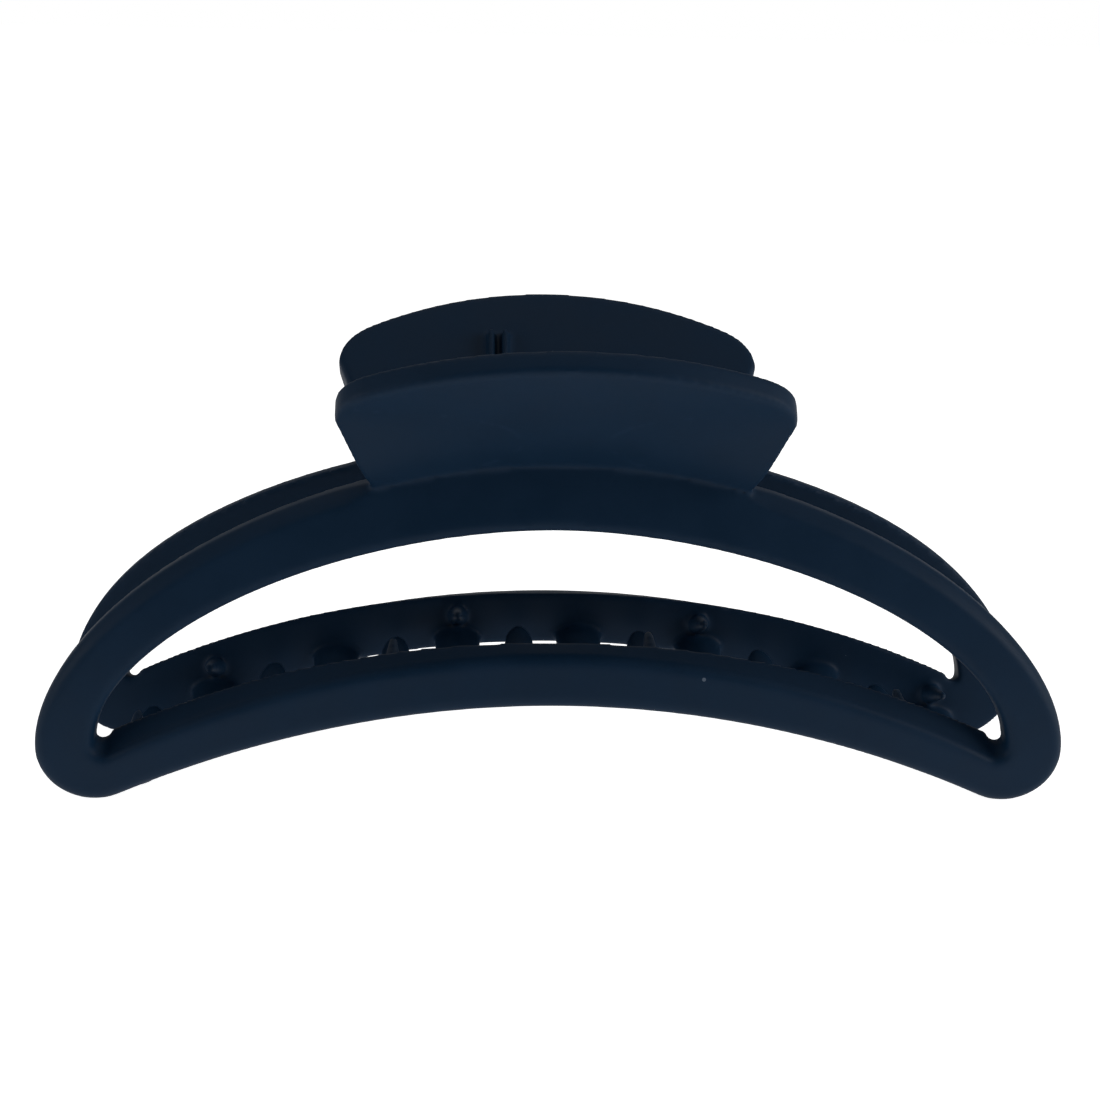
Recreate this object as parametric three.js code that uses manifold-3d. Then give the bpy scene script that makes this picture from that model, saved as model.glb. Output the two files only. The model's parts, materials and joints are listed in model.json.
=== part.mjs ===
// Hair claw clip: two jaws from one mould, turned back to back on a steel pin and closed by a
// torsion spring. Millimetres. +X runs along the clip, +Z is up, and the front jaw is on the -Y
// side. The clip stands closed on the four rounded ends of its jaws, at Z = 0.

import * as THREE from "three";
import { ParametricGeometry } from "three/addons/geometries/ParametricGeometry.js";
import { mergeVertices } from "three/addons/utils/BufferGeometryUtils.js";
import Module from "manifold-3d";

// The outer edge and the hole of a jaw's crescent frame, each given by its half length, the height
// of its top, of its ends and of its bottom middle, its end radius and the fullness of its top.
const FRAME_EDGE = { half: 54.6, top: 36.3, end: 5.95, bottom: 10.95, endRadius: 5.95, fullness: 1.84 };
const FRAME_HOLE = { half: 47.9, top: 29.1, end: 6.5, bottom: 16.7, endRadius: 1.1, fullness: 1.84 };
const TOP_SHARE = 0.5; // of the way round half an edge, its top takes this much
const END_SHARE = 0.64; // and its top and end together this much
const FRAME_STEPS = 88;
const FRAME_THICKNESS = 3.4;
const FRAME_ROUNDING = 0.9; // on the two outer edges only; the inner edges lie on the mould's split

// How far a jaw's inner face stands from the middle plane, from its top down to its widest height.
const TOP_STAND_OFF = 2.65;
const WIDEST_STAND_OFF = 9.1;
const WIDEST_HEIGHT = 8.7;
const END_BOW = 0.2; // the jaws come this much closer at their ends

// The thumb tab, a flat plate that leans outwards from the top of the frame.
const TAB_LEAN = THREE.MathUtils.degToRad(47);
const TAB_THICKNESS = 2.75;
const TAB_HEIGHT = 20.4;
const TAB_HALF_TOP = 23.3;
const TAB_HALF_ROOT = 18.2;
const TAB_TOP_RADIUS = 43;
const TAB_CORNER_RADIUS = 3;
const TAB_ROOT_DEPTH = 3; // how far the plate reaches down into the frame
const TAB_BEVEL = 0.45;
const TAB_FILLET = 0.5; // how far up the tab the strip reaches that fills its corner with the frame
const FILLET_STEPS = 12;
const CORE_STEPS = 6;
const CORE_DEPTH = 9; // how far down the frame the core that shapes the tab's root reaches
const CORE_INSET = 0.05; // keeps a cut or a strip just inside the face that it would share

// The hinge: each jaw has one inner and one outer lug, so that turned jaws interleave.
const HINGE_HEIGHT = 38.1;
const PIN_RADIUS = 0.9;
const PIN_LENGTH = 22.4;
const BORE_RADIUS = 0.97;
const ROUND_SIDES = 20; // of the pin and its bores
const LUG_RADIUS = 2.6;
const LUG_WIDTH = 2.2;
const INNER_LUG = 6.5; // distance of the lug's near side from the middle of the clip
const OUTER_LUG = 9;
const LUG_ARC_START = THREE.MathUtils.degToRad(70); // where a lug's flanks leave its round end
const LUG_FOOT = 1.2; // how deep a lug's lower corner stands in the frame
const LUG_SHOULDER = 5; // how far up the tab a lug's upper corner stands
const LUG_BITE = 1; // and how deep in it

// The torsion spring and the pair of ribs that keeps its leg in place on the tab.
const WIRE_RADIUS = 0.4;
const WIRE_SIDES = 6;
const COIL_RADIUS = 2.45;
const COIL_HALF_LENGTH = 5.6;
const COIL_TURNS = 8;
const COIL_STEPS = 14; // to a turn
const LEG_LENGTH = 12.5;
const LEG_STEPS = 8;
const RIB_WIDTH = 0.85;
const RIB_HEIGHT = 1.5;
const RIB_SLOT = 1.05;
const RIB_START = 4;
const RIB_END = 16.2;

// Teeth at quarter steps off the middle, so that the two jaws' teeth mesh, and grip pegs.
const TOOTH_PITCH = 13.85;
const TOOTH_COUNT = 7;
const TOOTH_SHIFT = -0.25;
const TOOTH_ROOT = { width: 4.8, height: 2.7, rise: 1.6 };
const TOOTH_TIP = { width: 2.9, height: 1.5, rise: 2.4 };
const TOOTH_DIP = 1.7; // how far its middle hangs below the line from root to tip
const TOOTH_ROOT_DEPTH = 1.6; // how far it starts inside the frame
const TOOTH_TIP_GAP = 1.2; // from the tip to the other jaw's inner face
const TOOTH_NOSE = 0.16; // the share of a tooth's length that rounds off to its tip
const TOOTH_STEPS = 12;
const TOOTH_SIDES = 10;
const PEG_SIDES = 12;
const PEG_ROOT_DEPTH = 1;
const PEG_LENGTH = 6.3;
const PEG_BASE_RADIUS = 1.25;
const PEG_TIP_RADIUS = 0.45;
const PEG_TILT = THREE.MathUtils.degToRad(18);
const PEG_RISE = 3.85; // above the frame's bottom edge

const NAVY_PLASTIC = { color: 0x14253f, roughness: 0.75, metalness: 0 };
const SPRING_STEEL = { color: 0xb4b6b8, roughness: 0.3, metalness: 1 };

const wasm = await Module();
wasm.setup();

// A three.js geometry as a solid that can be joined and cut. A parametric surface may come out
// inside out, and is turned.
function solid(geometry) {
  geometry.deleteAttribute("normal");
  geometry.deleteAttribute("uv");
  const merged = mergeVertices(geometry, 1e-4);
  const corners = merged.index.array;
  const triVerts = [];
  for (let i = 0; i < corners.length; i += 3) {
    const [a, b, c] = corners.slice(i, i + 3);
    if (a !== b && b !== c && c !== a) triVerts.push(a, b, c);
  }
  const made = manifoldOf(merged.attributes.position.array, triVerts);
  return made.volume() > 0 ? made : manifoldOf(merged.attributes.position.array, triVerts.reverse());
}

function manifoldOf(vertProperties, triVerts) {
  return new wasm.Manifold(
    new wasm.Mesh({ numProp: 3, vertProperties, triVerts: new Uint32Array(triVerts) }),
  );
}

// The geometry of a solid.
function geometryOf(manifold) {
  const { vertProperties, triVerts } = manifold.getMesh();
  const geometry = new THREE.BufferGeometry();
  geometry.setAttribute("position", new THREE.BufferAttribute(vertProperties, 3));
  geometry.setIndex(new THREE.BufferAttribute(triVerts, 1));
  geometry.computeVertexNormals();
  return geometry;
}

// An open parametric tube with a flat cap put on each end.
function closedTube(tube, steps, sides) {
  const corners = Array.from(tube.index.array);
  const row = steps + 1;
  for (let i = 1; i < sides - 1; i += 1) {
    corners.push(0, i * row, (i + 1) * row);
    corners.push(steps, (i + 1) * row + steps, i * row + steps);
  }
  tube.setIndex(corners);
  return solid(tube);
}

// The radius of the arc under a crescent edge, tangent to its two end circles.
function bottomRadius(edge) {
  const reach = edge.half - edge.endRadius;
  const fall = edge.end - edge.bottom;
  return (reach ** 2 + fall ** 2 - edge.endRadius ** 2) / (2 * (edge.endRadius - fall));
}

// Height of a crescent edge's top at x.
function topHeight(edge, x) {
  const share = (1 - Math.abs(x / edge.half) ** edge.fullness) ** (1 / edge.fullness);
  return edge.end + (edge.top - edge.end) * share;
}

// Height of a crescent edge's bottom arc at x.
function bottomHeight(edge, x) {
  const radius = bottomRadius(edge);
  return edge.bottom - radius + Math.sqrt(radius ** 2 - x ** 2);
}

// A point of a crescent edge's right half, from its top middle at 0 to its bottom middle at 1: a
// superellipse down to the end, an end circle, and the bottom arc.
function crescentPoint(edge, along) {
  const radius = bottomRadius(edge);
  const reach = edge.half - edge.endRadius;
  const meeting = Math.asin(reach / (radius + edge.endRadius));
  if (along <= TOP_SHARE) {
    const angle = (along / TOP_SHARE) * (Math.PI / 2);
    const power = 2 / edge.fullness;
    return new THREE.Vector2(
      edge.half * Math.sin(angle) ** power,
      edge.end + (edge.top - edge.end) * Math.max(Math.cos(angle), 0) ** power,
    );
  }
  if (along <= END_SHARE) {
    const turn = ((along - TOP_SHARE) / (END_SHARE - TOP_SHARE)) * (Math.PI / 2 + meeting);
    return new THREE.Vector2(
      reach + edge.endRadius * Math.cos(turn),
      edge.end - edge.endRadius * Math.sin(turn),
    );
  }
  const angle = meeting * (1 - (along - END_SHARE) / (1 - END_SHARE));
  return new THREE.Vector2(
    radius * Math.sin(angle),
    edge.bottom - radius + radius * Math.cos(angle),
  );
}

// Distance of a jaw's inner face from the middle plane.
function standOff(x, z) {
  const fall = (FRAME_EDGE.top - z) / (FRAME_EDGE.top - WIDEST_HEIGHT);
  const side = TOP_STAND_OFF + (WIDEST_STAND_OFF - TOP_STAND_OFF) * Math.sin((fall * Math.PI) / 2);
  return side - END_BOW * (x / FRAME_EDGE.half) ** 2;
}

// The crescent frame: a band between its two edges with a flat inner face and rounded outer edges.
function frameSolid() {
  const soft = FRAME_ROUNDING;
  const softMiddle = soft * (1 - Math.SQRT1_2);
  const deep = FRAME_THICKNESS;
  // Section corners as distance from the hole's edge, distance from the outer edge and depth.
  const section = [
    { fromHole: 0, depth: 0 },
    { fromEdge: 0, depth: 0 },
    { fromEdge: 0, depth: deep - soft },
    { fromEdge: softMiddle, depth: deep - softMiddle },
    { fromEdge: soft, depth: deep },
    { fromHole: soft, depth: deep },
    { fromHole: softMiddle, depth: deep - softMiddle },
    { fromHole: 0, depth: deep - soft },
  ];
  const surface = (u, v, target) => {
    const turn = Math.round(u * FRAME_STEPS) % FRAME_STEPS;
    const corner = section[Math.round(v * section.length) % section.length];
    const along = (2 * turn) / FRAME_STEPS;
    const side = along <= 1 ? 1 : -1;
    const half = along <= 1 ? along : 2 - along;
    const hole = crescentPoint(FRAME_HOLE, half);
    const edge = crescentPoint(FRAME_EDGE, half);
    const across = edge.clone().sub(hole);
    const width = across.length();
    const share = corner.fromHole === undefined ? 1 - corner.fromEdge / width : corner.fromHole / width;
    const point = hole.addScaledVector(across, share);
    const x = point.x * side;
    target.set(x, -standOff(x, point.y) - corner.depth, point.y);
  };
  return solid(new ParametricGeometry(surface, FRAME_STEPS, section.length));
}

// The matrix that lays a shape drawn in X and up the tab onto the tab's inner face.
function tabPlacement() {
  const along = new THREE.Vector3(1, 0, 0);
  const up = new THREE.Vector3(0, -Math.sin(TAB_LEAN), Math.cos(TAB_LEAN));
  const out = new THREE.Vector3().crossVectors(along, up);
  const matrix = new THREE.Matrix4().makeBasis(along, up, out);
  return matrix.setPosition(0, -TOP_STAND_OFF, FRAME_EDGE.top);
}

// The tab: straight sides, a top edge on a wide arc and rounded corners. Its root is cut along the
// frame's inner face.
function tabSolid() {
  const drop = TAB_TOP_RADIUS - Math.sqrt(TAB_TOP_RADIUS ** 2 - TAB_HALF_TOP ** 2);
  const shoulder = TAB_HEIGHT - drop;
  const corner = TAB_HALF_TOP - TAB_CORNER_RADIUS;
  const cornerAngle = Math.asin(corner / TAB_TOP_RADIUS);
  const cornerHeight = TAB_HEIGHT - TAB_TOP_RADIUS * (1 - Math.cos(cornerAngle));
  const sideEnd = shoulder - TAB_CORNER_RADIUS;
  const up = Math.PI / 2;
  const shape = new THREE.Shape();
  shape.moveTo(-TAB_HALF_ROOT, -TAB_ROOT_DEPTH);
  shape.lineTo(TAB_HALF_ROOT, -TAB_ROOT_DEPTH);
  shape.lineTo(TAB_HALF_TOP, sideEnd);
  shape.quadraticCurveTo(TAB_HALF_TOP, shoulder, corner, cornerHeight);
  shape.absarc(
    0,
    TAB_HEIGHT - TAB_TOP_RADIUS,
    TAB_TOP_RADIUS,
    up - cornerAngle,
    up + cornerAngle,
    false,
  );
  shape.quadraticCurveTo(-TAB_HALF_TOP, shoulder, -TAB_HALF_TOP, sideEnd);
  shape.closePath();
  const plate = new THREE.ExtrudeGeometry(shape, {
    depth: TAB_THICKNESS - 2 * TAB_BEVEL,
    bevelThickness: TAB_BEVEL,
    bevelSize: TAB_BEVEL,
    bevelOffset: -TAB_BEVEL,
    bevelSegments: 2,
    curveSegments: 10,
  });
  plate.translate(0, 0, TAB_BEVEL);
  return solid(plate.applyMatrix4(tabPlacement())).subtract(coreSolid());
}

// The room between the jaws from just under the frame's top, out to just inside its inner face.
function coreSolid() {
  const top = FRAME_EDGE.top - CORE_INSET;
  const outline = new THREE.Shape();
  outline.moveTo(-TAB_HEIGHT, top);
  for (let i = 0; i <= CORE_STEPS; i += 1) {
    const z = top - (i / CORE_STEPS) * CORE_DEPTH;
    outline.lineTo(standOff(0, z) + CORE_INSET, z);
  }
  outline.lineTo(-TAB_HEIGHT, top - CORE_DEPTH);
  outline.closePath();
  const core = new THREE.ExtrudeGeometry(outline, {
    depth: 2 * TAB_HALF_TOP,
    bevelEnabled: false,
  });
  core.applyMatrix4(outwardAlongX());
  return solid(core.translate(TAB_HALF_TOP, 0, 0));
}

// A strip of triangular section that fills the corner between the tab's outer face and the frame:
// it starts at the front of the frame and ends a little way up the tab.
function filletSolid() {
  const [sin, cos] = [Math.sin(TAB_LEAN), Math.cos(TAB_LEAN)];
  const deep = TAB_THICKNESS - CORE_INSET;
  const sides = 3;
  const surface = (u, v, target) => {
    const x = (2 * u - 1) * (TAB_HALF_ROOT - TAB_BEVEL);
    const top = topHeight(FRAME_EDGE, x);
    const inner = standOff(x, top);
    const front = inner + FRAME_THICKNESS;
    const foot = top - FRAME_ROUNDING;
    const up = (front - TOP_STAND_OFF) * sin + (foot - FRAME_EDGE.top) * cos + TAB_FILLET;
    const corners = [
      [TOP_STAND_OFF + up * sin + deep * cos, FRAME_EDGE.top + up * cos - deep * sin],
      [front, foot],
      [inner + FRAME_THICKNESS / 2, foot],
    ];
    const [outward, z] = corners[Math.round(v * sides) % sides];
    target.set(x, -outward, z);
  };
  return closedTube(new ParametricGeometry(surface, FILLET_STEPS, sides), FILLET_STEPS, sides);
}

// A hinge lug from the root of the tab to the pin, between x and x + LUG_WIDTH.
function lugSolid(x) {
  const [sin, cos] = [Math.sin(TAB_LEAN), Math.cos(TAB_LEAN)];
  const lug = new THREE.Shape();
  lug.absarc(0, HINGE_HEIGHT, LUG_RADIUS, LUG_ARC_START, -LUG_ARC_START, false);
  lug.lineTo(TOP_STAND_OFF + FRAME_THICKNESS / 2, FRAME_EDGE.top - LUG_FOOT);
  lug.lineTo(
    TOP_STAND_OFF + LUG_SHOULDER * sin + LUG_BITE * cos,
    FRAME_EDGE.top + LUG_SHOULDER * cos - LUG_BITE * sin,
  );
  lug.closePath();
  const plate = new THREE.ExtrudeGeometry(lug, {
    depth: LUG_WIDTH,
    bevelEnabled: false,
    curveSegments: 14,
  });
  plate.applyMatrix4(outwardAlongX());
  return solid(plate.translate(x + LUG_WIDTH, 0, 0));
}

// Turns a shape drawn in outward distance and height, extruded along its depth, to stand along X.
function outwardAlongX() {
  const outward = new THREE.Vector3(0, -1, 0);
  const up = new THREE.Vector3(0, 0, 1);
  const depth = new THREE.Vector3().crossVectors(outward, up);
  return new THREE.Matrix4().makeBasis(outward, up, depth);
}

// A pin-like cylinder along X.
function rod(radius, length) {
  const cylinder = new THREE.CylinderGeometry(radius, radius, length, ROUND_SIDES);
  cylinder.rotateZ(Math.PI / 2);
  return solid(cylinder.translate(0, 0, HINGE_HEIGHT));
}

// The two ribs on the tab's inner face beside the spring's leg.
function ribSolids() {
  return [-1, 1].map((side) => {
    const rib = new THREE.BoxGeometry(RIB_WIDTH, RIB_END - RIB_START, RIB_HEIGHT + 1);
    const x = COIL_HALF_LENGTH + (side * (RIB_SLOT + RIB_WIDTH)) / 2;
    rib.translate(x, (RIB_START + RIB_END) / 2, (1 - RIB_HEIGHT) / 2);
    return solid(rib.applyMatrix4(tabPlacement()));
  });
}

// A body of round sections along a path: path(s) gives its middle, size(s) its half width and half
// height, and both ends close to a point in a rounded nose.
function taperedSolid(path, size) {
  const surface = (u, v, target) => {
    const s = Math.round(u * TOOTH_STEPS) / TOOTH_STEPS;
    const angle = ((Math.round(v * TOOTH_SIDES) % TOOTH_SIDES) / TOOTH_SIDES) * 2 * Math.PI;
    const { width, height } = size(s);
    const middle = path(s);
    target.set(
      middle.x + width * Math.cos(angle),
      middle.y,
      middle.z + height * Math.sin(angle),
    );
  };
  return solid(new ParametricGeometry(surface, TOOTH_STEPS, TOOTH_SIDES));
}

// Shrinks to nothing over the last stretch before the tip, as a quarter circle does.
function nose(s, stretch) {
  const past = Math.max((s - 1 + stretch) / stretch, 0);
  return Math.sqrt(Math.max(1 - past ** 2, 0));
}

// A tooth: starts inside the frame, sags below its root and rises to its tip by the other jaw.
function toothSolid(x) {
  const base = bottomHeight(FRAME_EDGE, x);
  const rootY = -standOff(x, base + TOOTH_ROOT.rise) - TOOTH_ROOT_DEPTH;
  const tipY = standOff(x, base + TOOTH_TIP.rise) - TOOTH_TIP_GAP;
  const path = (s) =>
    new THREE.Vector3(
      x,
      THREE.MathUtils.lerp(rootY, tipY, s),
      base + THREE.MathUtils.lerp(TOOTH_ROOT.rise, TOOTH_TIP.rise, s) - TOOTH_DIP * 4 * s * (1 - s),
    );
  const size = (s) => {
    const closed = s === 0 ? 0 : nose(s, TOOTH_NOSE);
    return {
      width: (THREE.MathUtils.lerp(TOOTH_ROOT.width, TOOTH_TIP.width, s) / 2) * closed,
      height: (THREE.MathUtils.lerp(TOOTH_ROOT.height, TOOTH_TIP.height, s) / 2) * closed,
    };
  };
  return taperedSolid(path, size);
}

// A conical grip peg on the frame's inner face, tilted upwards.
function pegSolid(x) {
  const z = bottomHeight(FRAME_EDGE, x) + PEG_RISE;
  const whole = PEG_LENGTH + PEG_ROOT_DEPTH;
  const peg = new THREE.CylinderGeometry(PEG_TIP_RADIUS, PEG_BASE_RADIUS, whole, PEG_SIDES);
  peg.translate(0, whole / 2 - PEG_ROOT_DEPTH, 0);
  peg.rotateX(PEG_TILT);
  peg.translate(x, -standOff(x, z), z);
  return solid(peg);
}

// One moulded jaw, as the front one.
function jawGeometry() {
  let jaw = frameSolid().add(tabSolid()).add(filletSolid());
  const lugs = [OUTER_LUG, -INNER_LUG - LUG_WIDTH];
  lugs.forEach((x) => {
    jaw = jaw.add(lugSolid(x));
  });
  ribSolids().forEach((rib) => {
    jaw = jaw.add(rib);
  });
  for (let i = 0; i < TOOTH_COUNT; i += 1) {
    const x = (i - (TOOTH_COUNT - 1) / 2 + TOOTH_SHIFT) * TOOTH_PITCH;
    jaw = jaw.add(toothSolid(x));
    if (i % 2 === 0) jaw = jaw.add(pegSolid(x));
  }
  return geometryOf(jaw.subtract(rod(BORE_RADIUS, 4 * OUTER_LUG)));
}

// A regular polygon about the origin.
function polygon(radius, sides) {
  const shape = new THREE.Shape();
  for (let i = 0; i < sides; i += 1) {
    const angle = (i / sides) * 2 * Math.PI;
    const corner = [radius * Math.cos(angle), radius * Math.sin(angle)];
    if (i === 0) shape.moveTo(...corner);
    else shape.lineTo(...corner);
  }
  shape.closePath();
  return shape;
}

// The spring: a coil round the pin whose end legs run up the two tabs' inner faces. A leg leaves
// the coil along its tangent, so the coil starts and ends where its radius is square to a leg.
function springGeometry() {
  const turns = COIL_TURNS + 0.5 - TAB_LEAN / Math.PI;
  const coilSteps = Math.round(turns * COIL_STEPS);
  const points = [];
  for (let i = 0; i <= coilSteps; i += 1) {
    const share = i / coilSteps;
    const angle = -TAB_LEAN - share * turns * 2 * Math.PI;
    points.push(
      new THREE.Vector3(
        THREE.MathUtils.lerp(-COIL_HALF_LENGTH, COIL_HALF_LENGTH, share),
        COIL_RADIUS * Math.cos(angle),
        HINGE_HEIGHT + COIL_RADIUS * Math.sin(angle),
      ),
    );
  }
  const legUp = new THREE.Vector3(0, Math.sin(TAB_LEAN), Math.cos(TAB_LEAN));
  const [coilStart, coilEnd] = [points[0], points[coilSteps]];
  for (let i = 1; i <= LEG_STEPS; i += 1) {
    const reach = (i / LEG_STEPS) * LEG_LENGTH;
    points.unshift(coilStart.clone().addScaledVector(legUp, reach));
    points.push(coilEnd.clone().add(new THREE.Vector3(0, -legUp.y * reach, legUp.z * reach)));
  }
  const wire = new THREE.ExtrudeGeometry(polygon(WIRE_RADIUS, WIRE_SIDES), {
    steps: coilSteps + 2 * LEG_STEPS,
    extrudePath: new THREE.CatmullRomCurve3(points),
  });
  return geometryOf(solid(wire));
}

const clip = new THREE.Group();

function addPiece(name, geometry, finish, turn = 0) {
  const piece = new THREE.Mesh(geometry, new THREE.MeshStandardMaterial(finish));
  piece.name = name;
  piece.rotation.z = turn;
  clip.add(piece);
}

const jaw = jawGeometry();
addPiece("front_jaw", jaw, NAVY_PLASTIC);
addPiece("back_jaw", jaw, NAVY_PLASTIC, Math.PI);
addPiece("hinge_pin", geometryOf(rod(PIN_RADIUS, PIN_LENGTH)), SPRING_STEEL);
addPiece("torsion_spring", springGeometry(), SPRING_STEEL);

export default clip;
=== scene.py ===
# Hair claw clip in matte navy plastic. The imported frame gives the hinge, the sizes and the bodies;
# this script makes the moulded jaws, the spring and the pin as fine surfaces around it.
import json
import math

import bmesh
import bpy
import numpy as np
from mathutils import Matrix, Vector


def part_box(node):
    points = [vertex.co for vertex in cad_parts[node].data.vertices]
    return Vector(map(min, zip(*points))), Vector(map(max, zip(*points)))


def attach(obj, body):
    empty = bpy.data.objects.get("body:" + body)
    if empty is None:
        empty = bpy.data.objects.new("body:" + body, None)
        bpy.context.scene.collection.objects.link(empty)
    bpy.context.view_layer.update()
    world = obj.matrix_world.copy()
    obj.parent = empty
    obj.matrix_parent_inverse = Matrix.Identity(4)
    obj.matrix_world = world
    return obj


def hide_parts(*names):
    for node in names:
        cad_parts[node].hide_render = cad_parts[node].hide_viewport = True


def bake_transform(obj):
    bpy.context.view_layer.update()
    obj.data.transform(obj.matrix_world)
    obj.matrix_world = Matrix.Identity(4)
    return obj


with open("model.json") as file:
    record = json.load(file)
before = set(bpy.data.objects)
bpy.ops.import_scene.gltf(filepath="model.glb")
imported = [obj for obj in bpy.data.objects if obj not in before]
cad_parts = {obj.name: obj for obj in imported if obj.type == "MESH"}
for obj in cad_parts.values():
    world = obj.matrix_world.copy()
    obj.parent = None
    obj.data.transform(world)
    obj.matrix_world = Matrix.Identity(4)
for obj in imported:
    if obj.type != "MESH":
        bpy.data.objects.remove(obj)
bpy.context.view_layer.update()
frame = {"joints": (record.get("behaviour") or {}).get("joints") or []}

millimetre = 0.001
hingeHeight = frame["joints"][0]["pos_m"][2] / millimetre
jawLow, jawHigh = (np.array(corner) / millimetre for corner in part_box("front_jaw"))
print("frame loaded, clip length", round(float(jawHigh[0] - jawLow[0]), 1), "mm")


def makeMesh(name, points, faces):
    # points in millimetres; poles are merged and every shell faces outwards
    mesh = bpy.data.meshes.new(name)
    mesh.from_pydata((points * millimetre).tolist(), [], faces.tolist())
    shell = bmesh.new()
    shell.from_mesh(mesh)
    bmesh.ops.remove_doubles(shell, verts=shell.verts, dist=1e-7)
    bmesh.ops.recalc_face_normals(shell, faces=shell.faces)
    shell.to_mesh(mesh)
    shell.free()
    mesh.shade_smooth()
    piece = bpy.data.objects.new(name, mesh)
    bpy.context.scene.collection.objects.link(piece)
    return piece


def ringFaces(rings, around, closed):
    # quads between neighbouring rings of points; closed joins the last ring to the first
    ring = np.arange(rings if closed else rings - 1)[:, None]
    step = np.arange(around)[None, :]
    after = (step + 1) % around
    further = (ring + 1) % rings
    here, there = ring * around, further * around
    return np.stack([here + step, here + after, there + after, there + step], -1).reshape(-1, 4)


def shellOf(rings, closed=False):
    # a grid of points, rings x around x 3, as a flat list of points and its faces; unless it is
    # closed along its length, its end rings shrink to their middles, which closes the ends
    if not closed:
        first = np.broadcast_to(rings[0].mean(0), rings[0].shape)
        last = np.broadcast_to(rings[-1].mean(0), rings[-1].shape)
        rings = np.concatenate([first[None], rings, last[None]])
    return rings.reshape(-1, 3), ringFaces(rings.shape[0], rings.shape[1], closed)


def joinShells(shells):
    # several shells as one list of points; each one's faces count on from the points before it
    points, faces, start = [], [], 0
    for shellPoints, shellFaces in shells:
        points.append(shellPoints)
        faces.append(shellFaces + start)
        start += len(shellPoints)
    return np.concatenate(points), np.concatenate(faces)


def applyModifiers(piece):
    # the mesh that the modifiers give takes the place of the object's own
    graph = bpy.context.evaluated_depsgraph_get()
    mesh = bpy.data.meshes.new_from_object(piece.evaluated_get(graph), depsgraph=graph)
    piece.modifiers.clear()
    old = piece.data
    piece.data = mesh
    bpy.data.meshes.remove(old)


# the open crescent frame of a jaw; "edge" is its outer outline and "hole" the opening inside it, each
# with the height of its top, of its end circles' centres and of its bottom at the middle
crescent = {
    "edge": {
        "half": float(jawHigh[0]),
        "top": 36.3,
        "end": 5.95,
        "bottom": 10.95,
        "endRadius": 5.95,
        "fullness": 1.84,
    },
    "hole": {
        "half": 48.4,
        "top": 29.1,
        "end": 6.5,
        "bottom": 16.7,
        "endRadius": 1.1,
        "fullness": 1.84,
    },
    "thickness": 3.4,
    "topRounding": 1.4,
    "topStraightness": 0.75,  # 0 keeps the top's corner round, 1 makes it a flat bevel
    "topFacing": 0.6,  # from here up a side has the top's rounding, and from the next down the bottom's
    "bottomFacing": -0.8,
    "bottomRounding": 1.25,
    "holeRounding": 1.1,
    "innerRounding": 0.22,
    "tabFade": (-1, 4),  # the top's rounding starts and is full this far past the tab's root
    "draft": (0.35, 1.85),  # how far the hole's lower wall leans in, at the middle and at the ends
    "draftPower": 1.4,
    "draftStart": 0.2,
    "draftRise": 2.2,
    "topStandOff": 2.65,
    "widestStandOff": 9.1,
    "widestHeight": 8.7,
    "endBow": 0.2,
    "steps": 560,
    "cornerSteps": 7,
}


def bottomRadius(edge):
    # radius of the arc under a crescent edge that is tangent to its two end circles
    reach = edge["half"] - edge["endRadius"]
    fall = edge["end"] - edge["bottom"]
    return (reach ** 2 + fall ** 2 - edge["endRadius"] ** 2) / (2 * (edge["endRadius"] - fall))


def topHeight(edge, x):
    # superellipse: end + rise (1 - |x/half|^n)^(1/n)
    power = edge["fullness"]
    share = (1 - np.abs(x / edge["half"]) ** power) ** (1 / power)
    return edge["end"] + (edge["top"] - edge["end"]) * share


def bottomHeight(edge, x):
    # circle: bottom - R + sqrt(R^2 - x^2)
    radius = bottomRadius(edge)
    return edge["bottom"] - radius + np.sqrt(radius ** 2 - x ** 2)


def crescentEdge(edge, along):
    # right half of an edge from its top middle at 0 to its bottom middle at 1: half way is a
    # superellipse (half sin^p, rise cos^p), then an end circle, then the bottom arc
    topShare, endShare = 0.5, 0.64
    radius = bottomRadius(edge)
    reach = edge["half"] - edge["endRadius"]
    meeting = math.asin(reach / (radius + edge["endRadius"]))
    angle = np.clip(along / topShare, 0, 1) * math.pi / 2
    power = 2 / edge["fullness"]
    topX = edge["half"] * np.sin(angle) ** power
    topZ = edge["end"] + (edge["top"] - edge["end"]) * np.maximum(np.cos(angle), 0) ** power
    turn = np.clip((along - topShare) / (endShare - topShare), 0, 1) * (math.pi / 2 + meeting)
    endX = reach + edge["endRadius"] * np.cos(turn)
    endZ = edge["end"] - edge["endRadius"] * np.sin(turn)
    lean = meeting * (1 - np.clip((along - endShare) / (1 - endShare), 0, 1))
    bottomX = radius * np.sin(lean)
    bottomZ = edge["bottom"] - radius + radius * np.cos(lean)
    where = [along <= topShare, along <= endShare]
    return np.select(where, [topX, endX], bottomX), np.select(where, [topZ, endZ], bottomZ)


def standOff(x, z):
    # how far a jaw's inner face stands from the middle plane: a quarter sine wave down from its top
    fall = (crescent["edge"]["top"] - z) / (crescent["edge"]["top"] - crescent["widestHeight"])
    side = np.sin(fall * math.pi / 2) * (crescent["widestStandOff"] - crescent["topStandOff"])
    return crescent["topStandOff"] + side - crescent["endBow"] * (x / crescent["edge"]["half"]) ** 2


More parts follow.
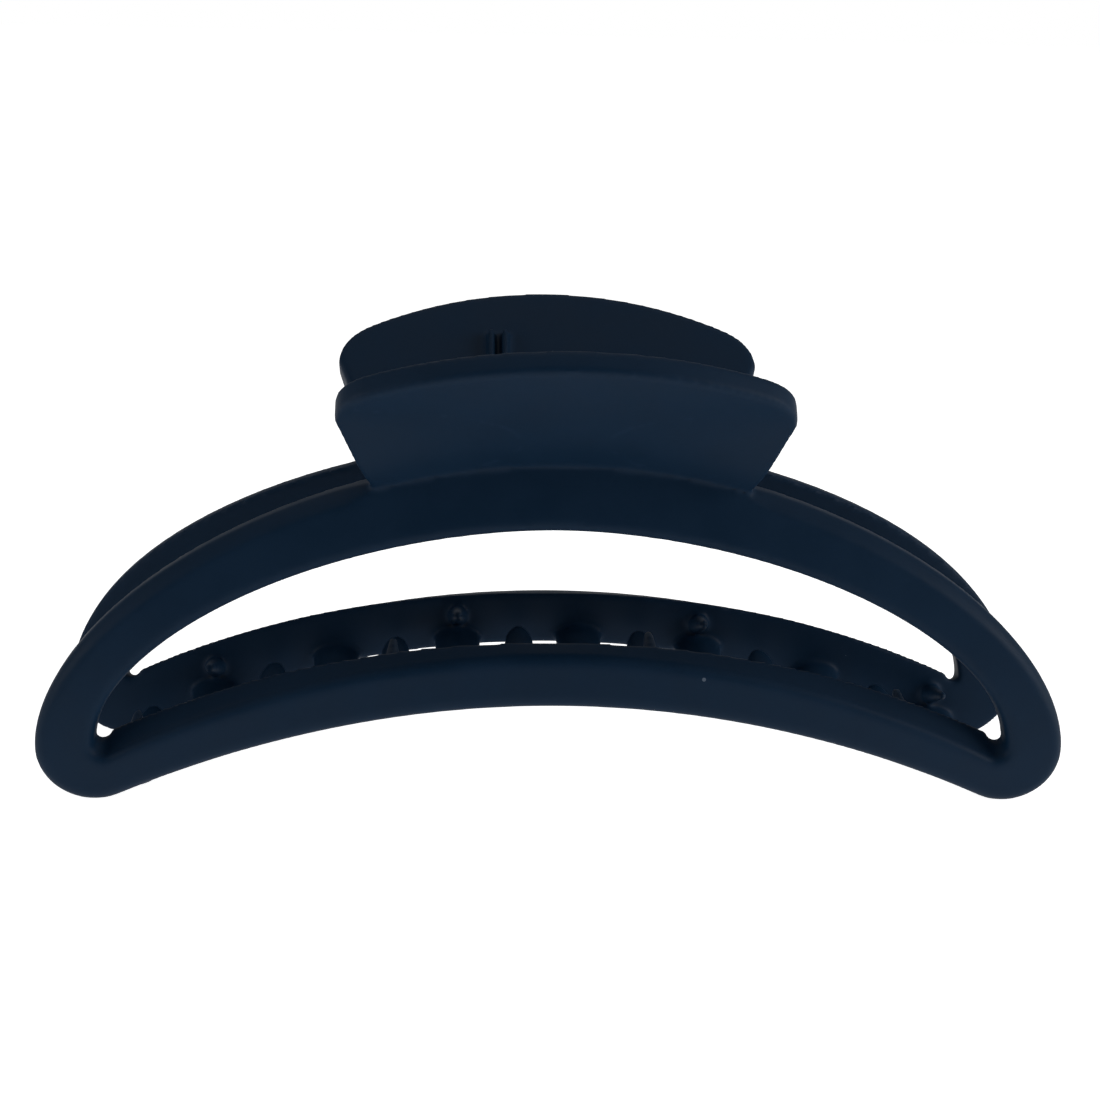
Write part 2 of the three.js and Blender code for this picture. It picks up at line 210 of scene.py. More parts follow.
def frameShell():
    # a rounded rectangular section carried round the crescent, between its hole and its outer edge;
    # its outer corner is rounder along the top, and the hole narrows inwards along its lower side
    deep = crescent["thickness"]
    along = np.arange(crescent["steps"]) / crescent["steps"] * 2
    side = np.where(along <= 1, 1.0, -1.0)
    half = np.where(along <= 1, along, 2 - along)
    hole = np.stack(crescentEdge(crescent["hole"], half), -1)
    edge = np.stack(crescentEdge(crescent["edge"], half), -1)
    across = edge - hole
    width = np.linalg.norm(across, axis=1)
    facing = across[:, 1] / width
    inner = np.full(len(half), crescent["innerRounding"])
    upAndDown = [crescent["bottomFacing"], crescent["topFacing"]]
    outer = np.interp(facing, upAndDown, [crescent["bottomRounding"], crescent["topRounding"]])
    besideTab = np.interp(np.abs(edge[:, 0]), tab["halfRoot"] + np.array(crescent["tabFade"]), [0, 1])
    outer = np.where(facing > 0, inner + (outer - inner) * besideTab, outer)
    lip = np.full(len(half), crescent["holeRounding"])
    middleDraft, endDraft = crescent["draft"]
    towardsEnd = np.abs(hole[:, 0] / crescent["hole"]["half"])
    draft = middleDraft + (endDraft - middleDraft) * towardsEnd ** crescent["draftPower"]
    draft = draft * np.clip(-facing * crescent["draftRise"] - crescent["draftStart"], 0, 1)
    # a corner is a quarter circle, leaving one side as it nears the next; the top's is part bevel
    quarter = np.linspace(0, 1, crescent["cornerSteps"])
    straight = np.interp(facing, [0, crescent["topFacing"]], [0, crescent["topStraightness"]])[:, None]
    leaving = 1 - np.cos(quarter * math.pi / 2) + 0 * straight
    nearing = 1 - np.sin(quarter * math.pi / 2) + 0 * straight
    bevelLeaving = leaving + (quarter - leaving) * straight
    bevelNearing = nearing + (1 - quarter - nearing) * straight
    corners = [
        (0, inner, leaving, nearing, 0, 1),
        (1, inner, nearing, leaving, 0, 1),
        (1, outer, bevelLeaving, bevelNearing, deep, -1),
        (0, lip, nearing, leaving, deep, -1),
    ]
    reach, depth = [], []
    for atEdge, radius, sideways, inwards, face, sign in corners:
        reach.append(atEdge * width[:, None] + (1 - 2 * atEdge) * radius[:, None] * sideways)
        depth.append(face + sign * radius[:, None] * inwards)
    reach[0] = reach[0] - draft[:, None]
    reach, depth = np.concatenate(reach, 1), np.concatenate(depth, 1)
    point = hole[:, None, :] + across[:, None, :] * (reach / width[:, None])[:, :, None]
    x = point[:, :, 0] * side[:, None]
    z = point[:, :, 1]
    y = -(standOff(x, z) + depth)
    return shellOf(np.stack([x, y, z], -1), closed=True)


# the thumb tab, measured along its foot, up its face and out through its thickness
tab = {
    "lean": math.radians(47),
    "thickness": 2.75,
    "height": 20.4,
    "halfTop": 23.3,
    "halfRoot": 18.5,
    "topRadius": 43,
    "cornerRadius": 3,
    "rootDepth": 3,
    "rounding": 0.55,
    "seat": 0.45,  # how far below the frame's top edge the foot's front corner meets the frame
    "blend": 14,  # height over which the foot's forward run fades out
    "gapSoftness": 0.2,
    "clearance": 0.05,
    "shift": 0.5,
    "spacing": 0.8,
    "arcSteps": 60,
    "cornerSteps": 10,
}

lugs = {
    "radius": 2.6,
    "width": 2.2,
    "inner": 6.5,
    "outer": 9,
    "flank": math.radians(70),
    "foot": 1.2,
    "shoulder": 5,
    "bite": 1,
    "rounding": 0.3,
    "spacing": 0.4,
    "arcSteps": 40,
}

ribs = {
    "width": 0.75,
    "height": 1.2,
    "slot": 0.85,
    "start": 4,
    "end": 14.3,
    "bite": 1,
    "rounding": 0.22,
    "spacing": 0.25,
}

plates = {"rimSteps": 7, "faceSteps": 24, "middleRing": 0.03}

rightward, backward, upward = np.eye(3)
tabUp = np.array([0, -math.sin(tab["lean"]), math.cos(tab["lean"])])
tabOut = np.array([0, -math.cos(tab["lean"]), -math.sin(tab["lean"])])
tabFoot = np.array([0, -crescent["topStandOff"], crescent["edge"]["top"]])


def alongLine(corners, spacing):
    # points along the straight sides of a closed outline, start + (end - start) i / count
    corners = np.array(corners, float)
    ends = np.roll(corners, -1, axis=0)
    counts = np.maximum(np.ceil(np.linalg.norm(ends - corners, axis=1) / spacing), 1).astype(int)
    parts = []
    for start, end, count in zip(corners, ends, counts):
        parts.append(start + (end - start) * (np.arange(count) / count)[:, None])
    return np.concatenate(parts)


def roundedPlate(outline, thickness, rounding):
    # a plate over an outline: rings from the middle of one face, round its rounded rim, to the
    # middle of the other; inside the rim a ring is the outline drawn in towards its middle
    middle = outline.mean(0)
    halfSize = np.ptp(outline, axis=0) / 2
    quarter = np.linspace(0, math.pi / 2, plates["rimSteps"])
    faceRings = np.linspace(plates["middleRing"], 1, plates["faceSteps"])[:-1]
    inset = rounding * (1 - np.sin(quarter))
    rise = rounding * (1 - np.cos(quarter))
    scale = 1 - inset[:, None] / halfSize[None, :]
    flat = faceRings[:, None] * scale[0][None, :]
    scales = np.concatenate([flat, scale, scale[::-1], flat[::-1]])
    level = np.concatenate([faceRings * 0, rise, thickness - rise[::-1], faceRings * 0 + thickness])
    drawn = middle + (outline - middle)[None] * scales[:, None, :]
    depth = np.broadcast_to(level[:, None, None], drawn.shape[:2] + (1,))
    return np.concatenate([drawn, depth], -1)


def placed(grid, origin, first, second, third):
    # a grid drawn in three coordinates, laid along three directions
    return origin + grid[..., 0:1] * first + grid[..., 1:2] * second + grid[..., 2:3] * third


def quadratic(start, pull, end, count):
    # a curve from start to end drawn towards pull: (1-t)^2 start + 2t(1-t) pull + t^2 end
    t = np.linspace(0, 1, count)[:, None]
    return (1 - t) ** 2 * np.array(start) + 2 * t * (1 - t) * np.array(pull) + t ** 2 * np.array(end)


def tabShell():
    # straight sides, rounded corners and a top on a wide arc; the root follows the frame's inner face,
    # and low down the outer face runs forward to the frame's front edge, by a gap g kept above 0 as
    # (g + sqrt(g^2 + softness)) / 2 and fading with height as f^3 (10 - 15 f + 6 f^2)
    radius, halfTop = tab["topRadius"], tab["halfTop"]
    shoulder = tab["height"] - radius + math.sqrt(radius ** 2 - halfTop ** 2)
    corner = halfTop - tab["cornerRadius"]
    cornerAngle = math.asin(corner / radius)
    cornerHeight = tab["height"] - radius * (1 - math.cos(cornerAngle))
    sideEnd = shoulder - tab["cornerRadius"]
    swing = np.linspace(cornerAngle, -cornerAngle, tab["arcSteps"])
    arc = np.stack([radius * np.sin(swing), tab["height"] - radius * (1 - np.cos(swing))], -1)
    cornerEnd = (corner, cornerHeight)
    right = quadratic((halfTop, sideEnd), (halfTop, shoulder), cornerEnd, tab["cornerSteps"])
    left = (right * [-1, 1])[::-1]
    root = [(-tab["halfRoot"], -tab["rootDepth"]), (tab["halfRoot"], -tab["rootDepth"])]
    corners = np.concatenate([root, right, arc[1:-1], left])
    plate = roundedPlate(alongLine(corners, tab["spacing"]), tab["thickness"], tab["rounding"])
    seat = topHeight(crescent["edge"], plate[..., 0]) - tab["seat"]
    front = standOff(plate[..., 0], seat) + crescent["thickness"]
    up = (seat - tabFoot[2] - tab["thickness"] * tabOut[2]) / tabUp[2]
    gap = front + tabFoot[1] + up * tabUp[1] + tab["thickness"] * tabOut[1]
    gap = (gap + np.sqrt(gap ** 2 + tab["gapSoftness"])) / 2
    fade = 1 - np.clip(plate[..., 1] / tab["blend"], 0, 1)
    fade = fade ** 3 * (10 - 15 * fade + 6 * fade ** 2)
    plate[..., 2] -= gap * fade * tabOut[1] * plate[..., 2] / tab["thickness"]
    grid = placed(plate, tabFoot, rightward, tabUp, tabOut)
    x, y, z = grid[..., 0], grid[..., 1], grid[..., 2]
    inner = standOff(x, np.minimum(z, crescent["edge"]["top"])) + tab["clearance"]
    grid[..., 1] = np.where(z < crescent["edge"]["top"], np.minimum(y, -inner), y)
    grid[..., 0] += tab["shift"]
    return shellOf(grid)


def lugShell(near):
    # a plate square to the pin: an arc of its radius about the pin, then straight flanks to a corner
    # inside the frame and a corner inside the tab
    swing = np.linspace(lugs["flank"], 2 * math.pi - lugs["flank"], lugs["arcSteps"])
    ring = np.stack([-np.cos(swing), np.sin(swing)], -1) * lugs["radius"] + [0, hingeHeight]
    middle = crescent["topStandOff"] + crescent["thickness"] / 2
    frameCorner = [-middle, crescent["edge"]["top"] - lugs["foot"]]
    tabCorner = tabFoot + lugs["shoulder"] * tabUp + lugs["bite"] * tabOut
    outline = np.concatenate([ring, [frameCorner], [tabCorner[1:]]])
    plate = roundedPlate(alongLine(outline, lugs["spacing"]), lugs["width"], lugs["rounding"])
    return shellOf(placed(plate, near * rightward, backward, upward, rightward))


def ribShell(x):
    # a rectangular plate that stands on the tab's inner face and runs up it
    half = ribs["width"] / 2
    corners = [(-half, ribs["start"]), (half, ribs["start"]), (half, ribs["end"]), (-half, ribs["end"])]
    outline = alongLine(corners, ribs["spacing"])
    plate = roundedPlate(outline, ribs["height"] + ribs["bite"], ribs["rounding"])
    origin = tabFoot + (x + tab["shift"]) * rightward + tabOut * ribs["bite"]
    return shellOf(placed(plate, origin, rightward, tabUp, -tabOut))


# "root" and "tip" each hold a width, a height and a rise above the frame's lower edge
teeth = {
    "pitch": 13.85,
    "count": 7,
    "shift": -0.25,
    "root": (5.7, 2.9, 1.6),
    "tip": (2.9, 1.5, 2.4),
    "dip": 1.7,
    "rootDepth": 1.6,
    "tipGap": 1.2,
    "nose": 0.16,
    "steps": 60,
    "sides": 28,
}

# "base" and "tip" are radii, and a peg stands above every second tooth
pegs = {
    "length": 6.3,
    "rootDepth": 1,
    "base": 1.25,
    "tip": 0.45,
    "tilt": math.radians(18),
    "rise": 3.85,
    "every": 2,
    "steps": 24,
    "tipSteps": 7,
    "sides": 28,
}


def toothShell(x):
    # elliptical sections along a sagging path, dip 4s(1-s), whose size falls from root to tip and
    # whose tip closes as a quarter circle
    s = np.sin(np.linspace(0, math.pi / 2, teeth["steps"]))
    base = bottomHeight(crescent["edge"], x)
    rootWidth, rootHeight, rootRise = teeth["root"]
    tipWidth, tipHeight, tipRise = teeth["tip"]
    rootY = -standOff(x, base + rootRise) - teeth["rootDepth"]
    tipY = standOff(x, base + tipRise) - teeth["tipGap"]
    past = np.maximum((s - 1 + teeth["nose"]) / teeth["nose"], 0)
    closing = np.sqrt(np.maximum(1 - past ** 2, 0))
    wide = (rootWidth + (tipWidth - rootWidth) * s) / 2 * closing
    high = (rootHeight + (tipHeight - rootHeight) * s) / 2 * closing
    y = rootY + (tipY - rootY) * s
    z = base + rootRise + (tipRise - rootRise) * s - teeth["dip"] * 4 * s * (1 - s)
    angle = np.linspace(0, 2 * math.pi, teeth["sides"], endpoint=False)
    gridX = x + wide[:, None] * np.cos(angle)
    gridZ = z[:, None] + high[:, None] * np.sin(angle)
    return shellOf(np.stack([gridX, np.broadcast_to(y[:, None], gridX.shape), gridZ], -1))


def pegShell(x):
    # a cone tilted upwards from the frame's inner face, its radius falling evenly from base to tip,
    # closed by a half ball
    base = bottomHeight(crescent["edge"], x) + pegs["rise"]
    start = np.array([x, -standOff(x, base), base])
    direction = np.array([0, math.cos(pegs["tilt"]), math.sin(pegs["tilt"])])
    across = np.array([0, -direction[2], direction[1]])
    cone = np.linspace(-pegs["rootDepth"], pegs["length"] - pegs["tip"], pegs["steps"])
    share = (cone + pegs["rootDepth"]) / (pegs["length"] + pegs["rootDepth"])
    radius = pegs["base"] + (pegs["tip"] - pegs["base"]) * share
    cap = np.linspace(0, math.pi / 2, pegs["tipSteps"])[1:-1]
    height = np.concatenate([cone, cone[-1] + radius[-1] * np.sin(cap)])
    radius = np.concatenate([radius, radius[-1] * np.cos(cap)])
    angle = np.linspace(0, 2 * math.pi, pegs["sides"], endpoint=False)
    ring = np.cos(angle)[:, None] * rightward + np.sin(angle)[:, None] * across
    return shellOf(start + height[:, None, None] * direction + radius[:, None, None] * ring[None])


# how a jaw's parts are joined in one skin; "grain" is the size of the cells that it is made from
moulding = {
    "grain": 0.32,
    "softening": 3,
    "softeningShare": 0.5,
    "bore": 0.97,
    "boreSides": 64,
    "rimAngle": math.radians(50),
}


def rodGrid(radii, stations, sides):
    # a round bar along X about the hinge line: at each station a circle, y = r cos a, z = hinge + r sin a
    angle = np.linspace(0, 2 * math.pi, sides, endpoint=False)
    radii, stations = np.array(radii), np.array(stations)
    y = radii[:, None] * np.cos(angle)
    z = hingeHeight + radii[:, None] * np.sin(angle)
    return np.stack([np.broadcast_to(stations[:, None], y.shape), y, z], -1)


def makeJaw(name):
    # every shell overlaps its neighbours; the voxel remesh joins them in one skin, a little smoothing
    # softens the corners between them, and the bore is cut last so that it stays round
    shells = [frameShell(), tabShell()]
    shells += [lugShell(near) for near in (lugs["outer"], -lugs["inner"] - lugs["width"])]
    legX = spring["halfLength"]
    shells += [ribShell(legX + side * (ribs["slot"] + ribs["width"]) / 2) for side in (-1, 1)]
    for i in range(teeth["count"]):
        x = (i - (teeth["count"] - 1) / 2 + teeth["shift"]) * teeth["pitch"]
        shells.append(toothShell(x))
        if i % pegs["every"] == 0:
            shells.append(pegShell(x))
    piece = makeMesh(name, *joinShells(shells))
    remesh = piece.modifiers.new("one skin", "REMESH")
    remesh.mode = "VOXEL"
    remesh.voxel_size = moulding["grain"] * millimetre
    remesh.use_smooth_shade = True
    soften = piece.modifiers.new("soft corners", "SMOOTH")
    soften.factor = moulding["softeningShare"]
    soften.iterations = moulding["softening"]
    applyModifiers(piece)
    reach = 2 * lugs["outer"]
    bar = rodGrid([moulding["bore"]] * 2, [-reach, reach], moulding["boreSides"])
    cutter = makeMesh("bore", *shellOf(bar))
    bore = piece.modifiers.new("bore", "BOOLEAN")
    bore.operation = "DIFFERENCE"
    bore.solver = "MANIFOLD"
    bore.object = cutter
    applyModifiers(piece)
    bpy.data.objects.remove(cutter)
    piece.data.shade_smooth()
    piece.data.set_sharp_from_angle(angle=moulding["rimAngle"])
    return piece


def turnedCopy(piece, name):
    # the other jaw comes from the same mould, turned half round about the upright
    mesh = piece.data.copy()
    mesh.transform(Matrix.Rotation(math.pi, 4, "Z"))
    mesh.name = name
    copy = bpy.data.objects.new(name, mesh)
    bpy.context.scene.collection.objects.link(copy)
    return copy


# "wire" and "radius" are the radii of the wire and of the coil's middle line
spring = {
    "wire": 0.4,
    "radius": 2.45,
    "halfLength": 5.6,
    "turns": 8,
    "leg": 9.5,
    "endTaper": 0.75,
    "turnSteps": 40,
    "legSteps": 30,
    "sides": 14,
}

pin = {
    "radius": 0.9,
    "halfLength": 11.2,
    "chamfer": 0.18,
    "steps": 40,
    "sides": 48,
    "rimAngle": math.radians(30),
}


def tubeAlong(path, radius, sides):
    # a circle carried square to a path: cos a outwards from the hinge line, sin a beside the path
    ahead = np.gradient(path, axis=0)
    ahead /= np.linalg.norm(ahead, axis=1)[:, None]
    outward = path - path[:, :1] * rightward - hingeHeight * upward
    outward -= ahead * (outward * ahead).sum(1)[:, None]
    outward /= np.linalg.norm(outward, axis=1)[:, None]
    beside = np.cross(ahead, outward)
    angle = np.linspace(0, 2 * math.pi, sides, endpoint=False)
    ring = np.cos(angle)[:, None] * outward[:, None] + np.sin(angle)[:, None] * beside[:, None]
    return path[:, None] + radius[:, None, None] * ring


def makeSpring(name):
    # a helix round the pin, radius r at angle -lean - 2 pi turns t, with a straight leg off each end
    # along its tangent, up the two tabs' inner faces
    turns = spring["turns"] + 0.5 - tab["lean"] / math.pi
    t = np.linspace(0, 1, int(turns * spring["turnSteps"]))
    angle = -tab["lean"] - t * turns * 2 * math.pi
    coilX = spring["halfLength"] * (2 * t - 1)
    coilY = spring["radius"] * np.cos(angle)
    coilZ = hingeHeight + spring["radius"] * np.sin(angle)
    coil = np.stack([coilX, coilY, coilZ], -1)
    reach = np.linspace(0, spring["leg"], spring["legSteps"])[1:, None]
    backLeg = coil[0] + reach * tabUp * [1, -1, 1]
    frontLeg = coil[-1] + reach * tabUp
    path = np.concatenate([backLeg[::-1], coil, frontLeg])
    radii = np.full(len(path), spring["wire"])
    radii[[0, -1]] *= spring["endTaper"]
    return makeMesh(name, *shellOf(tubeAlong(path, radii, spring["sides"])))


def makePin(name):
    # a plain drawn rod with chamfered ends
    length, chamfer, steps = pin["halfLength"], pin["chamfer"], pin["steps"]
    small = pin["radius"] - chamfer
    body = np.linspace(chamfer - length, length - chamfer, steps)
    stations = np.concatenate([[-length], body, [length]])
    radii = np.concatenate([[small], np.full(steps, pin["radius"]), [small]])
    piece = makeMesh(name, *shellOf(rodGrid(radii, stations, pin["sides"])))
    piece.data.set_sharp_from_angle(angle=pin["rimAngle"])
    return piece


def addNode(tree, kind, values=None, **settings):
    # one node with its settings; each named or numbered input takes a value or another node's output
    node = tree.nodes.new(kind)
    for key, value in settings.items():
        setattr(node, key, value)
    for key, value in (values or {}).items():
        if isinstance(value, bpy.types.NodeSocket):
            tree.links.new(value, node.inputs[key])
        else:
            node.inputs[key].default_value = value
    return node


def makeGroup(name, inputs, outputs):
    group = bpy.data.node_groups.new(name, "ShaderNodeTree")
    for label, kind, value in inputs:
        socket = group.interface.new_socket(label, in_out="INPUT", socket_type=kind)
        if value is not None:
            socket.default_value = value
    for label, kind in outputs:
        group.interface.new_socket(label, in_out="OUTPUT", socket_type=kind)
    start = group.nodes.new("NodeGroupInput").outputs
    end = group.nodes.new("NodeGroupOutput").inputs
    return group, start, end


def mathNode(tree, operation, first, second):
    return addNode(tree, "ShaderNodeMath", {0: first, 1: second}, operation=operation).outputs[0]


def ramp(tree, value, low, high):
    # 0 below low, 1 above high, smooth between
    limits = {"Value": value, "From Min": low, "From Max": high}
    return addNode(tree, "ShaderNodeMapRange", limits, interpolation_type="SMOOTHSTEP").outputs[0]


# noise and cell scales are counts to the metre
grain = {"fine": 6000, "slow": 160, "fineShare": 0.35}

handling = {
    "specks": 260,
    "speckShare": 0.1,
    "speckSize": (0.012, 0.05),  # the least, and how much more the largest have
    "scratchTurn": (0.4, 0.7, 0.9),
    "scratchScale": (70, 70, 900),
    "scratchShare": 0.008,
    "scratchSize": 0.16,
    "scratchStrength": 0.5,
}

# sharpness is 0.5 on a flat surface, more on an outward corner and less in a fold; the fold limits say
# where painted shade darkens the folds
edges = {"low": 0.62, "high": 0.85, "foldShadeLow": 0.485, "foldShadeHigh": 0.42, "patches": 90}


def grainGroup():
    # the satin grain of a coated moulding: fine pits over slow waves of the mould
    inputs = [
        ("Vector", "NodeSocketVector", None),
        ("Fine", "NodeSocketFloat", grain["fine"]),
        ("Slow", "NodeSocketFloat", grain["slow"]),
    ]
    outputs = [("Height", "NodeSocketFloat"), ("Mottle", "NodeSocketFloat")]
    group, start, end = makeGroup("moulded grain", inputs, outputs)
    fine = addNode(group, "ShaderNodeTexNoise", {"Vector": start[0], "Scale": start[1], "Detail": 2})
    slow = addNode(group, "ShaderNodeTexNoise", {"Vector": start[0], "Scale": start[2], "Detail": 4})
    small = mathNode(group, "MULTIPLY", fine.outputs[0], grain["fineShare"])
    group.links.new(mathNode(group, "ADD", small, slow.outputs[0]), end[0])
    group.links.new(ramp(group, slow.outputs[0], 0.3, 0.7), end[1])
    return group


def handlingGroup():
    # dust specks and short fine scratches, both sparse and scattered over the surface
    inputs = [
        ("Vector", "NodeSocketVector", None),
        ("Specks", "NodeSocketFloat", handling["specks"]),
        ("Share", "NodeSocketFloat", handling["speckShare"]),
    ]
    group, start, end = makeGroup("handling marks", inputs, [("Mask", "NodeSocketFloat")])
    dust = addNode(group, "ShaderNodeTexVoronoi", {"Vector": start[0], "Scale": start[1]})
    kept = addNode(group, "ShaderNodeSeparateColor", {0: dust.outputs["Color"]})
    rare = mathNode(group, "LESS_THAN", kept.outputs[0], start[2])
    smallest, more = handling["speckSize"]
    size = mathNode(group, "MULTIPLY", kept.outputs[1], more)
    size = mathNode(group, "ADD", size, smallest)
    inside = mathNode(group, "LESS_THAN", dust.outputs["Distance"], size)
    specks = mathNode(group, "MULTIPLY", rare, inside)
    turn = {"Vector": start[0], "Rotation": handling["scratchTurn"], "Scale": handling["scratchScale"]}
    turned = addNode(group, "ShaderNodeMapping", turn)
    lines = addNode(group, "ShaderNodeTexVoronoi", {"Vector": turned.outputs[0], "Scale": 1})
    picked = addNode(group, "ShaderNodeSeparateColor", {0: lines.outputs["Color"]})
    few = mathNode(group, "LESS_THAN", picked.outputs[0], handling["scratchShare"])
    thin = mathNode(group, "LESS_THAN", lines.outputs["Distance"], handling["scratchSize"])
    scratches = mathNode(group, "MULTIPLY", few, thin)
    scratches = mathNode(group, "MULTIPLY", scratches, handling["scratchStrength"])
    group.links.new(mathNode(group, "MAXIMUM", specks, scratches), end[0])
    return group


def edgeGroup():
    # where the skin turns sharply outwards, worn by handling, and where it folds sharply inwards, for the
    # painted shade that darkens the folds like a contact shadow
    inputs = [
        ("Vector", "NodeSocketVector", None),
        ("Low", "NodeSocketFloat", edges["low"]),
        ("High", "NodeSocketFloat", edges["high"]),
    ]
    outputs = [("Mask", "NodeSocketFloat"), ("CreaseShade", "NodeSocketFloat")]
    group, start, end = makeGroup("edge rubbing and painted crease shade", inputs, outputs)
    bend = addNode(group, "ShaderNodeNewGeometry").outputs["Pointiness"]
    # the second output is a mask of painted shade for the folds
    group.links.new(ramp(group, bend, edges["foldShadeLow"], edges["foldShadeHigh"]), end[1])
    limits = {"Value": bend, "From Min": start[1], "From Max": start[2]}
    sharp = addNode(group, "ShaderNodeMapRange", limits)
    noise = {"Vector": start[0], "Scale": edges["patches"], "Detail": 3}
    patches = addNode(group, "ShaderNodeTexNoise", noise)
    worn = mathNode(group, "MULTIPLY", sharp.outputs[0], ramp(group, patches.outputs[0], 0.1, 0.55))
    group.links.new(worn, end[0])
    return group


def drawnGroup():
    # the fine lines that drawing leaves along a wire or rod, and its slow change of shine
    inputs = [("Vector", "NodeSocketVector", None), ("Stretch", "NodeSocketVector", steel["rodLines"])]
    outputs = [("Lines", "NodeSocketFloat"), ("Stain", "NodeSocketFloat")]
    group, start, end = makeGroup("drawn steel", inputs, outputs)
    longer = addNode(group, "ShaderNodeVectorMath", {0: start[0], 1: start[1]}, operation="MULTIPLY")
    lines = addNode(group, "ShaderNodeTexNoise", {"Vector": longer.outputs[0], "Scale": 1, "Detail": 2})
    stain = addNode(group, "ShaderNodeTexNoise", {"Vector": start[0], "Scale": 400, "Detail": 4})
    group.links.new(lines.outputs[0], end[0])
    group.links.new(ramp(group, stain.outputs[0], 0.4, 0.75), end[1])
    return group


# colours are linear, with their alpha
navy = {
    "deep": (0.0034, 0.0184, 0.0445, 1),
    "light": (0.0040, 0.0204, 0.0490, 1),
    "worn": (0.02, 0.045, 0.095, 1),
    # painted shade: the colour that darkens the folds between parts like a contact shadow
    "creaseShade": (0.0008, 0.004, 0.012, 1),
    "dust": (0.16, 0.2, 0.26, 1),
    "wornShare": 0.22,
    "creaseShadeShare": 0.85,
    "dustShare": 0.6,
    "roughness": 0.5,
    "mottleRoughness": 0.08,
    "specular": 0.14,
    "bump": 0.25,
    "bumpDepth": 0.00004,
}

# the lines of a wire have no single direction, so their noise is even; a rod's runs along X
steel = {
    "colour": (0.62, 0.63, 0.65, 1),
    "stain": (0.36, 0.36, 0.37, 1),
    "wireLines": (2500, 2500, 2500),
    "rodLines": (300, 9000, 9000),
    "roughness": 0.24,
    "lineRoughness": 0.2,
    "bump": 0.2,
    "bumpDepth": 0.00002,
}


def startMaterial(name):
    material = bpy.data.materials.new(name)
    material.use_nodes = True
    tree = material.node_tree
    return material, tree, tree.nodes["Principled BSDF"]


def mixColour(tree, factor, first, second):
    # sockets 6 and 7 are the two colours that a colour mix shows, and 2 is its result
    values = {"Factor": factor, 6: first, 7: second}
    return addNode(tree, "ShaderNodeMix", values, data_type="RGBA").outputs[2]


def useGroup(tree, group, values):
    return addNode(tree, "ShaderNodeGroup", values, node_tree=group).outputs


def layOver(tree, colour, mask, share, over):
    # another colour laid over the first, where its mask says and at most by its share
    return mixColour(tree, mathNode(tree, "MULTIPLY", mask, share), colour, over)


def roughenAndBump(tree, shader, look, variation, share, height):
    # roughness rises by a share of the variation, and the height raises a shallow bump
    rougher = mathNode(tree, "MULTIPLY", variation, share)
    tree.links.new(mathNode(tree, "ADD", rougher, look["roughness"]), shader.inputs["Roughness"])
    values = {"Height": height, "Strength": look["bump"], "Distance": look["bumpDepth"]}
    bump = addNode(tree, "ShaderNodeBump", values)
    tree.links.new(bump.outputs[0], shader.inputs["Normal"])


def navyPlastic():
    material, tree, shader = startMaterial("navy_plastic")
    place = addNode(tree, "ShaderNodeTexCoord").outputs["Object"]
    mould = useGroup(tree, grainGroup(), {"Vector": place})
    marks = useGroup(tree, handlingGroup(), {"Vector": place})
    rubbingAndShade = useGroup(tree, edgeGroup(), {"Vector": place})
    colour = mixColour(tree, mould["Mottle"], navy["deep"], navy["light"])
    colour = layOver(tree, colour, rubbingAndShade["Mask"], navy["wornShare"], navy["worn"])
    # painted shade laid into the folds between the parts, standing in for contact shadows
    colour = layOver(tree, colour, rubbingAndShade["CreaseShade"], navy["creaseShadeShare"], navy["creaseShade"])
    colour = layOver(tree, colour, marks["Mask"], navy["dustShare"], navy["dust"])
    tree.links.new(colour, shader.inputs["Base Color"])
    roughenAndBump(tree, shader, navy, mould["Mottle"], navy["mottleRoughness"], mould["Height"])
    shader.inputs["Specular IOR Level"].default_value = navy["specular"]
    return material


def drawnSteel(name, drawn, stretch):
    material, tree, shader = startMaterial(name)
    place = addNode(tree, "ShaderNodeTexCoord").outputs["Object"]
    marks = useGroup(tree, drawn, {"Vector": place, "Stretch": stretch})
    colour = mixColour(tree, marks["Stain"], steel["colour"], steel["stain"])
    tree.links.new(colour, shader.inputs["Base Color"])
    roughenAndBump(tree, shader, steel, marks["Lines"], steel["lineRoughness"], marks["Lines"])
    shader.inputs["Metallic"].default_value = 1
    return material


def finish(piece, material):
    piece.data.materials.clear()
    piece.data.materials.append(material)


# lengths in millimetres; the camera stands "distance" from its aim, turned left of straight ahead
studio = {
    "floorSize": 6000,
    "floorColour": (0.86, 0.86, 0.86, 1),
    "floorGlow": 0.54,  # what the floor gives the clip, and then what the camera sees of it
    "seenGlow": 0.96,
    "white": (1, 1, 1, 1),
    "seenWhite": 1.0,
    "fillColour": (0.94, 0.97, 1, 1),
    "fill": 0.015,
    "backdrop": 0.3,  # light from behind the clip, which grows from front to back
    "backdropFrom": 0.1,
    "backdropTo": 0.9,
    "distance": 209.9,
    "turn": math.radians(2.88),
    "rise": math.radians(16.48),
    "roll": math.radians(1.26),
    "aim": (0, 0, 24.6),
    "lens": 63.0,
    "sensor": 36,
    "shift": (-0.0031, 0.0011),
    "clipStart": 10,
}

# name, place, aim, width, height and watts
lamps = [
    ("overhead softbox", (0, 40, 420), (0, 0, 25), 420, 320, 0.27),
    ("right softbox", (420, -120, 190), (0, 0, 20), 260, 260, 0.9),
    ("left softbox", (-420, -120, 190), (0, 0, 20), 260, 260, 0.4),
]


